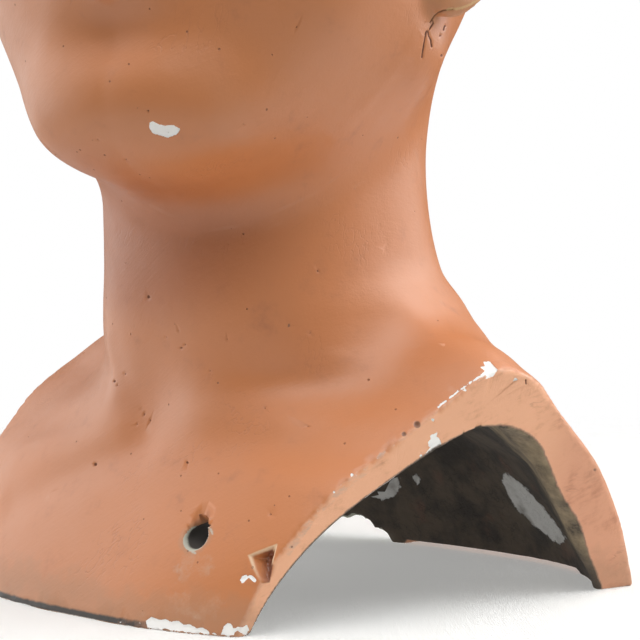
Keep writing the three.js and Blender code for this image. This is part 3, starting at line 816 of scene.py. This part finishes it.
knock_gap = np.min([np.linalg.norm(points - knock[:3], axis=1) - knock[3] for knock in KNOCKS], axis=0)
gaps["chip_gap"] = np.minimum(gaps["chip_gap"], knock_gap)
gaps["skin_gap"] = -outside(points)
gaps["hollow_gap"] = np.minimum(cavity(points), arch(points))
gaps["saw_gap"] = -sawn_off(points)
gaps["break_gap"] = broken(points)
gaps["bore_gap"] = bore(points)
gaps["pit_gap"] = pit(points)
gaps["ear_gap"] = np.abs(ear((points - HEAD_PIVOT) @ HEAD_TURN))
for name, values in gaps.items():
    layer = casting.data.attributes.new(name, "FLOAT", "POINT")
    layer.data.foreach_set("value", np.clip(values, -FAR, FAR).astype(np.float32))
bpy.ops.object.shade_smooth()
casting.select_set(False)

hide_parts("head_and_bust")
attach(casting, "root")


class Wire:
    """A socket of a material, so that its maths is written as plain sums."""

    tree = None

    def __init__(self, socket):
        self.socket = socket

    @classmethod
    def node(cls, kind, settings=None, inputs=None, output=0):
        """Any other node, from its type, its settings and the values or wires that it takes."""
        made = cls.tree.nodes.new("ShaderNode" + kind)
        for name, value in (settings or {}).items():
            setattr(made, name, value)
        for key, value in (inputs or {}).items():
            if isinstance(value, Wire):
                cls.tree.links.new(value.socket, made.inputs[key])
            else:
                made.inputs[key].default_value = value
        return cls(made.outputs[output])

    def sum_of(self, operation, other=0.0):
        return Wire.node("Math", {"operation": operation}, {0: self, 1: other})

    def __add__(self, other):
        return self.sum_of("ADD", other)

    def __sub__(self, other):
        return self.sum_of("SUBTRACT", other)

    def __mul__(self, other):
        return self.sum_of("MULTIPLY", other)

    def __truediv__(self, other):
        return self.sum_of("DIVIDE", other)

    def __neg__(self):
        return self * -1.0

    def __abs__(self):
        return self.sum_of("ABSOLUTE")

    def __rsub__(self, other):
        return -self + other

    __radd__ = __add__
    __rmul__ = __mul__

    def most(self, other):
        return self.sum_of("MAXIMUM", other)

    def rise(self, start, end):
        """0 at start, 1 at end, smooth between; the start may be the larger."""
        inputs = {"Value": self, "From Min": start, "From Max": end}
        return Wire.node("MapRange", {"interpolation_type": "SMOOTHSTEP"}, inputs)

    def tint(self, below, above):
        """A colour between two others, where this wire says how far."""
        return Wire.node("Mix", {"data_type": "RGBA"}, {0: self, 6: below, 7: above}, output=2)


def colour(red, green, blue):
    return (red, green, blue, 1.0)


def gap_of(name):
    return Wire.node("Attribute", {"attribute_name": name}, output="Fac")


# The paint is a skin colour brushed on thin, a little glossy, rubbed and speckled with age. The
# inside was never painted: brown plaster with tow in it, and grey-white smears, its browns made darker
# than the plaster for painted shade in the hollow, and lighter near the arch for painted light.
paint = bpy.data.materials.new("painted_plaster")
paint.use_nodes = True
Wire.tree = paint.node_tree
shader = paint.node_tree.nodes["Principled BSDF"]

here = Wire.node(
    "VectorMath",
    {"operation": "SCALE"},
    {0: Wire.node("TexCoord", output="Object"), "Scale": 1 / MM},
)


def stretched(along, across, upward, turn=0.0):
    """The place on the casting with its axes stretched, for marks that run one way."""
    turned = Wire.node("VectorRotate", {"rotation_type": "Y_AXIS"}, {"Vector": here, "Angle": turn})
    scale = (1 / along, 1 / across, 1 / upward)
    return Wire.node("VectorMath", {"operation": "MULTIPLY"}, {0: turned, 1: scale})


def cloud(size, detail=3.0, roughness=0.5, place=here):
    """Cloudy variation about zero, its lumps so many millimetres across."""
    inputs = {"Vector": place, "Scale": 1 / size, "Detail": detail, "Roughness": roughness}
    return Wire.node("TexNoise", {}, inputs) - 0.5


split = Wire.node("SeparateXYZ", {}, {0: here})
height = Wire(split.socket.node.outputs["Z"])
sideways = Wire(split.socket.node.outputs["X"])
forward = Wire(split.socket.node.outputs["Y"])

ragged = cloud(2.4, 4, 0.65)
fine_ragged = cloud(0.8, 3, 0.6)
broad = cloud(55, 2)
mottle = cloud(9, 4, 0.6)

SKIN = colour(0.56, 0.212, 0.083)
SKIN_ORANGE = colour(0.58, 0.208, 0.072)
SKIN_PINK = colour(0.56, 0.232, 0.108)
SKIN_RUBBED = colour(0.41, 0.150, 0.065)
# Painted shade under the jaw: its colour, and how high and how wide the patch reaches
JAW_SHADE = colour(0.4, 0.125, 0.04)
JAW_SHADE_HEIGHT = 104.0
JAW_SHADE_HALF_WIDTH = 52.0
JAW_SHADE_HALF_HEIGHT = 30.0
SAWN_PINK = colour(0.66, 0.305, 0.17)
SAWN_PALE = colour(0.84, 0.43, 0.245)
FOOT_TAN = colour(0.40, 0.215, 0.12)
WHITE_PLASTER = colour(0.96, 0.95, 0.92)
OLD_BREAK = colour(0.50, 0.50, 0.42)
INSIDE_SHADED_DARK = colour(0.036, 0.027, 0.021)
INSIDE_SHADED_BROWN = colour(0.09, 0.066, 0.045)
LIT_LIP_OCHRE = colour(0.36, 0.275, 0.165)
INSIDE_RED = colour(0.11, 0.062, 0.042)
REPAIR_GREY = colour(0.60, 0.59, 0.57)
GRIME_AND_SHADE = colour(0.045, 0.038, 0.033)
PIT_BROWN = colour(0.12, 0.036, 0.014)
EAR_OCHRE = colour(0.36, 0.19, 0.075)
GOLDEN = colour(0.56, 0.36, 0.15)
PIT_ORANGE = colour(0.52, 0.17, 0.04)
PIT_SHADE_DARK = colour(0.2, 0.05, 0.016)
PIT_CREAM = colour(0.72, 0.48, 0.29)
HAIR_BROWN = colour(0.33, 0.13, 0.06)
CREASE_PALE = colour(0.66, 0.42, 0.30)
SCRATCH_PALE = colour(0.74, 0.46, 0.31)
SCUFF_BEIGE = colour(0.56, 0.42, 0.31)
SCRAPE_GREY = colour(0.47, 0.34, 0.27)
DENT_BROWN = colour(0.2, 0.1, 0.06)
SCREW_GRIME = colour(0.34, 0.24, 0.16)
ARCH_EDGE_SHADE = colour(0.11, 0.075, 0.05)
TOW_DARK = colour(0.035, 0.026, 0.02)
BREAK_DARK = colour(0.3, 0.29, 0.23)

skin = (broad * 1.6 + 0.5).rise(0.2, 0.8).tint(SKIN, SKIN_ORANGE)
skin = (cloud(38, 3, place=stretched(1, 1, 1.6)) * 1.5).rise(0.05, 0.6).tint(skin, SKIN_PINK)
skin = (mottle * 2).rise(0.1, 0.9).tint(skin, SKIN_RUBBED)
specks = cloud(1.1, 2, 0.7).rise(0.2, 0.3) * (mottle + 0.5).rise(0.35, 0.75)
skin = (specks * 0.45).tint(skin, SKIN_RUBBED)
brushed = cloud(1.0, 3, 0.6, stretched(9, 3, 0.8, 0.6))

saw_gap = gap_of("saw_gap")
skin_gap = gap_of("skin_gap")
on_saw = (saw_gap + ragged * 0.1).rise(0.9, -0.1)
saw_streaks = cloud(1.0, 4, 0.7, stretched(6, 6, 0.45, 0.9))
sawn = forward.rise(38, 12).tint(SAWN_PINK, SAWN_PALE)
sawn = (mottle * 2 + saw_streaks).rise(0.0, 0.9).tint(sawn, SKIN_RUBBED)
hairlines = abs(cloud(1.0, 2, 0.5, stretched(2.2, 15, 1.8, 0.7))).rise(0.035, 0.012)
hairlines = hairlines * (cloud(14) * 2).rise(0.05, 0.5) * forward.rise(-5, 15)
sawn = (hairlines * 0.4).tint(sawn, HAIR_BROWN)
# Painted shade: a soft darker, browner patch across the front of the neck, in place of the shade the jaw
# casts there
across_jaw_shade = sideways / JAW_SHADE_HALF_WIDTH
up_jaw_shade = (height - JAW_SHADE_HEIGHT) / JAW_SHADE_HALF_HEIGHT
jaw_shade = (across_jaw_shade * across_jaw_shade + up_jaw_shade * up_jaw_shade).rise(1.0, 0.1)
jaw_shade = jaw_shade * (forward + mottle * 10).rise(-20, -36)
skin = (jaw_shade * 0.8).tint(skin, JAW_SHADE)
arcs = abs(cloud(1.0, 2, 0.5, stretched(2.6, 2.6, 22, -0.5))).rise(0.03, 0.01)
arcs = arcs * (cloud(24, 2) * 2).rise(0.05, 0.5)
skin = (arcs * 0.3).tint(skin, SKIN_RUBBED)
coat = on_saw.tint(skin, sawn)

crease = (skin_gap.most(0) + saw_gap.most(0) + ragged * 1.2).rise(0.9, 0.2)
crease_line = crease * (cloud(7, 3) + fine_ragged * 0.3).rise(-0.2, 0.15)
crease_white = crease * (cloud(11, 3) + fine_ragged * 1.2).rise(0.24, 0.30)
coat = (crease_line * 0.5).tint(coat, CREASE_PALE)

foot_band = (height + ragged * 2.4 + mottle * 22 + broad * 12).rise(13.0, 5.0)
coat = (foot_band * 0.5 + foot_band * mottle * 0.9).tint(coat, FOOT_TAN)
# Painted shadow and stain: a dark line along the left of the front foot's lowest edge, for the shadow gap
# under the edge and the grime there
foot_line_shadow_and_stain = (height + ragged * 0.8).rise(2.2, 1.4) * (sideways + ragged * 30).rise(42, 20)
foot_line_shadow_and_stain = foot_line_shadow_and_stain * (0 - forward).rise(0, 20)
coat = foot_line_shadow_and_stain.tint(coat, GRIME_AND_SHADE)

crack = (gap_of("crack_gap") + fine_ragged * 0.25 + ragged * 0.15).rise(0.32, 0.12)
scratch_gap = gap_of("scratch_gap") + fine_ragged * 0.15
scratch = scratch_gap.rise(0.2, 0.06) * (cloud(6, 3) * 2).rise(-0.2, 0.5)
scratch_edge = scratch_gap.rise(0.75, 0.2) * (cloud(9, 3) * 2).rise(-0.1, 0.6)
coat = (scratch * 0.28).tint(coat, SKIN_RUBBED)
coat = (scratch_edge * 0.12).tint(coat, SCRATCH_PALE)
scuff = (gap_of("scuff_gap") + ragged * 9.0).rise(1.2, -1.2)
scuff = scuff * (mottle * 2 + fine_ragged * 0.6).rise(-0.2, 0.7)
coat = (scuff * 0.5).tint(coat, SCUFF_BEIGE)
scrape = (gap_of("scrape_gap") + ragged * 1.2 + fine_ragged * 0.6).rise(0.25, -0.35)
scrape = scrape * (cloud(1.0, 3, 0.6, stretched(2.0, 7.0, 2.0, 0.8)) * 3).rise(-0.5, 0.7)
coat = (scrape * 0.6).tint(coat, SCRAPE_GREY)
pinhole = (gap_of("pinhole_gap") + fine_ragged * 0.2).rise(0.06, -0.16)
dent_gap = gap_of("dent_gap")
dent = (dent_gap + ragged * 0.5).rise(0.15, -0.2)
BUBBLE_SPACING = 7.0
bubbles = Wire.node("TexVoronoi", {}, {"Vector": here, "Scale": 1 / BUBBLE_SPACING, "Randomness": 1.0})
bubble = (bubbles * BUBBLE_SPACING + fine_ragged * 0.3).rise(0.36, 0.22)
pits = (pinhole * 0.9).most(crack).most(bubble * 0.55)
coat = pits.tint(coat, PIT_BROWN)
coat = (dent * 0.85).tint(coat, DENT_BROWN)

bore_gap = gap_of("bore_gap")
bore_grime = (bore_gap + ragged * 2.4).rise(2.4, 0.2) * 0.4
coat = bore_grime.tint(coat, SCREW_GRIME)
in_pit = (gap_of("pit_gap") + ragged * 0.2).rise(0.5, 0.15)
# Painted shade in the pit: cream at its mouth, darker orange deeper in, and darkest on one side, where the
# shade falls
pit_depth_shade = (skin_gap + ragged * 0.5 - height * 0.12 + 2.6).rise(0.3, 1.1)
pit_shaded_side = (sideways + forward + ragged * 2.0).rise(-2.5, 2.5)
pit_colour_and_shade = pit_depth_shade.tint(PIT_CREAM, pit_shaded_side.tint(PIT_ORANGE, PIT_SHADE_DARK))
coat = (in_pit * 0.95).tint(coat, pit_colour_and_shade)
chip_gap = gap_of("chip_gap")
chip = (chip_gap + ragged * 0.8 + fine_ragged * 0.45).rise(0.12, 0.04)
pale_rim = (gap_of("pale_gap") + fine_ragged * 0.9 + ragged * 0.3).rise(0.5, 0.15)
on_ear = gap_of("ear_gap").rise(2.2, 0.2)
ear_dirt = on_ear * (mottle * 2 + 0.5).rise(-0.3, 0.9)
coat = (ear_dirt * 0.55).tint(coat, EAR_OCHRE)
coat = (pale_rim * 0.75).tint(coat, height.rise(60, 100).tint(OLD_BREAK, GOLDEN))
coat = crease_white.most(chip).tint(coat, WHITE_PLASTER)

hollow_gap = gap_of("hollow_gap")
inside = (hollow_gap + ragged * 0.9 + fine_ragged * 0.5).rise(0.75, 0.5)
# Painted shade: a dark band on the sawn face along the arch's inner edge
arch_edge_shade = (hollow_gap + ragged * 0.9 + fine_ragged * 0.5).rise(1.25, 0.7)
coat = (arch_edge_shade * 0.75).tint(coat, ARCH_EDGE_SHADE)
tow = abs(cloud(1.0, 3, 0.6, stretched(3.5, 9.0, 3.5, 0.4))).rise(0.03, 0.005) * (mottle * 2).rise(-0.3, 0.5)
# The raw inside: brown plaster, its browns darker than the plaster for painted shade in the hollow
inside_plaster_and_shade = (cloud(16, 4) + mottle * 0.6).rise(-0.15, 0.2).tint(INSIDE_SHADED_BROWN, INSIDE_SHADED_DARK)
inside_plaster_and_shade = (cloud(10, 3) * 2).rise(0.15, 0.6).tint(inside_plaster_and_shade, INSIDE_RED)
# Painted light: the inside is a lighter ochre near the arch, where the side light reaches in
lit_near_arch = (saw_gap + ragged * 3.0 + mottle * 16).rise(31, 20) * (forward + mottle * 20).rise(-10, 6)
lit_ochre = (mottle * 2 + ragged * 0.5 + 0.4).rise(-0.4, 1.0).tint(LIT_LIP_OCHRE, INSIDE_SHADED_BROWN)
inside_plaster_and_shade = (lit_near_arch * height.rise(4, 14)).tint(inside_plaster_and_shade, lit_ochre)
inside_plaster_and_shade = (tow * 0.75).tint(inside_plaster_and_shade, TOW_DARK)
repair = (gap_of("repair_gap") + ragged * 2.4 + fine_ragged).rise(0.1, -0.2)
inside_plaster_and_shade = (repair * (mottle * 1.5 + 0.85).rise(0.3, 0.9)).tint(inside_plaster_and_shade, REPAIR_GREY)
surface = inside.tint(coat, inside_plaster_and_shade)

fracture = (gap_of("break_gap") + fine_ragged * 0.4).rise(0.5, 0.25)
surface = fracture.tint(surface, (mottle * 2 + 0.5).rise(0, 1).tint(OLD_BREAK, BREAK_DARK))
# Inside the screw hole: bare plaster near its mouth, and painted shade deeper in, so the hole reads dark
in_bore = (bore_gap + fine_ragged * 0.3).rise(0.35, 0.1)
bore_deep_shade = (skin_gap + ragged * 1.0).rise(0.7, 1.7)
surface = in_bore.tint(surface, bore_deep_shade.tint(OLD_BREAK, GRIME_AND_SHADE))
sole = (height + fine_ragged * 0.2).rise(0.3, 0.15)
surface = sole.tint(surface, (mottle * 3 + 0.5).rise(0, 1).tint(WHITE_PLASTER, FOOT_TAN))
Wire.tree.links.new(surface.socket, shader.inputs["Base Color"])

raw_places = inside.most(fracture).most(in_bore).most(sole).most(chip)
gloss = 0.45 + mottle * 0.16 + on_saw * 0.12 + foot_band * 0.1 + pits * 0.5 + on_ear * 0.1
gloss = gloss + raw_places * (0.9 - gloss)
Wire.tree.links.new(gloss.socket, shader.inputs["Roughness"])
shader.inputs["IOR"].default_value = 1.62

skin_relief = cloud(0.7, 3, 0.6) * 0.035 - arcs * 0.06 + brushed * 0.05 + cloud(3.5, 3) * 0.07
saw_relief = saw_streaks * 0.22 + hairlines * -0.12
raw_relief = cloud(3.5, 4, 0.6) * 0.7 + tow * -0.2 + repair * 0.5
relief = skin_relief + on_saw * saw_relief + inside * (raw_relief - skin_relief)
relief = relief - bubble * 0.25 - chip * 0.12 - crease_white * 0.1 + fracture * fine_ragged * 0.8
bump = Wire.node("Bump", {}, {"Height": relief, "Distance": MM, "Strength": 1.0})
Wire.tree.links.new(bump.socket, shader.inputs["Normal"])
casting.data.materials.clear()
casting.data.materials.append(paint)

# The casting stands on a sheet of white cloth that runs out into plain white all round it.
CLOTH_RADIUS = 0.6
FADE_FROM = 280
FADE_TO = 560
bpy.ops.mesh.primitive_circle_add(vertices=96, radius=CLOTH_RADIUS, fill_type="NGON")
cloth = bpy.context.active_object
cloth.name = "cloth"
weave = bpy.data.materials.new("white_cloth")
weave.use_nodes = True
Wire.tree = weave.node_tree
shader = weave.node_tree.nodes["Principled BSDF"]
here = Wire.node(
    "VectorMath",
    {"operation": "SCALE"},
    {0: Wire.node("TexCoord", output="Object"), "Scale": 1 / MM},
)
from_middle = Wire.node("VectorMath", {"operation": "LENGTH"}, {0: here}, output="Value")
WEAVE_TURN = math.radians(24)
turned = Wire.node("VectorRotate", {"rotation_type": "Z_AXIS"}, {"Vector": here, "Angle": WEAVE_TURN})
split = Wire.node("SeparateXYZ", {}, {0: turned})
THREAD = 0.95
THREAD_WHITE = colour(0.98, 0.98, 0.96)
BETWEEN_THREADS = colour(0.36, 0.36, 0.35)
STAIN = colour(0.5, 0.47, 0.42)
CRUMB = colour(0.35, 0.29, 0.22)


def threads(axis):
    return (Wire(split.socket.node.outputs[axis]) * (2 * math.pi / THREAD)).sum_of("SINE")


thread_relief = threads("X") * threads("Y") + cloud(0.9, 3, 0.6, here) * 1.2
stain = (cloud(12, 4, 0.7, here) * 2).rise(0.25, 0.9)
crumbs = cloud(1.6, 2, 0.5, here).rise(0.27, 0.3) * (cloud(20, 2, 0.5, here) * 2).rise(0.2, 0.5)
sheet = thread_relief.rise(-0.7, 0.3).tint(BETWEEN_THREADS, THREAD_WHITE)
sheet = (stain * 0.12).tint(sheet, STAIN)
sheet = (crumbs * 0.6).tint(sheet, CRUMB)
Wire.tree.links.new(sheet.socket, shader.inputs["Base Color"])
Wire.tree.links.new((1.0 - from_middle.rise(FADE_FROM, FADE_TO)).socket, shader.inputs["Alpha"])
Wire.tree.links.new(sheet.socket, shader.inputs["Emission Color"])
shader.inputs["Emission Strength"].default_value = 0.42
shader.inputs["Roughness"].default_value = 0.95
bump = Wire.node("Bump", {}, {"Height": thread_relief * 0.2, "Distance": MM, "Strength": 1.0})
Wire.tree.links.new(bump.socket, shader.inputs["Normal"])
cloth.data.materials.append(weave)


# Large soft boxes stand at the sides, a little behind, and others hang high in front. Nothing low
# lights the casting from the front, so what faces the camera is the darkest.
BOX_SIZE = 0.9
THROAT_LEVEL = 0.12


def soft_box(name, azimuth, rise, distance, power):
    """A soft light round the casting, its azimuth counted from the camera's side."""
    angle = CAMERA_AZIMUTH + math.radians(azimuth)
    level = math.radians(rise)
    place = Vector((math.sin(angle) * math.cos(level), -math.cos(angle) * math.cos(level), math.sin(level)))
    data = bpy.data.lights.new(name, "AREA")
    data.shape = "SQUARE"
    data.size = BOX_SIZE
    data.energy = power
    lamp = bpy.data.objects.new(name, data)
    lamp.location = place * distance + Vector((0, 0, THROAT_LEVEL))
    lamp.rotation_euler = (-place).to_track_quat("-Z", "Y").to_euler()
    lamp.visible_camera = False
    bpy.context.collection.objects.link(lamp)


soft_box("right_box", 105, 27, 0.8, 8.0)
soft_box("left_box", -122, 15, 0.8, 3.6)
soft_box("left_side_box", -95, 20, 0.8, 2.2)
soft_box("front_top_box", 0, 60, 1.0, 9.5)
soft_box("right_top_box", 90, 58, 1.0, 2.0)

world = bpy.data.worlds.new("studio")
bpy.context.scene.world = world
world.use_nodes = True
Wire.tree = world.node_tree
seen_directly = Wire.node("LightPath", output="Is Camera Ray")
sky = world.node_tree.nodes["Background"]
sky.inputs["Color"].default_value = colour(1, 1, 1)
FILL_LIGHT = 0.04
sky_light = seen_directly * (1 - FILL_LIGHT) + FILL_LIGHT
Wire.tree.links.new(sky_light.socket, sky.inputs["Strength"])
bpy.context.scene.view_settings.view_transform = "Standard"
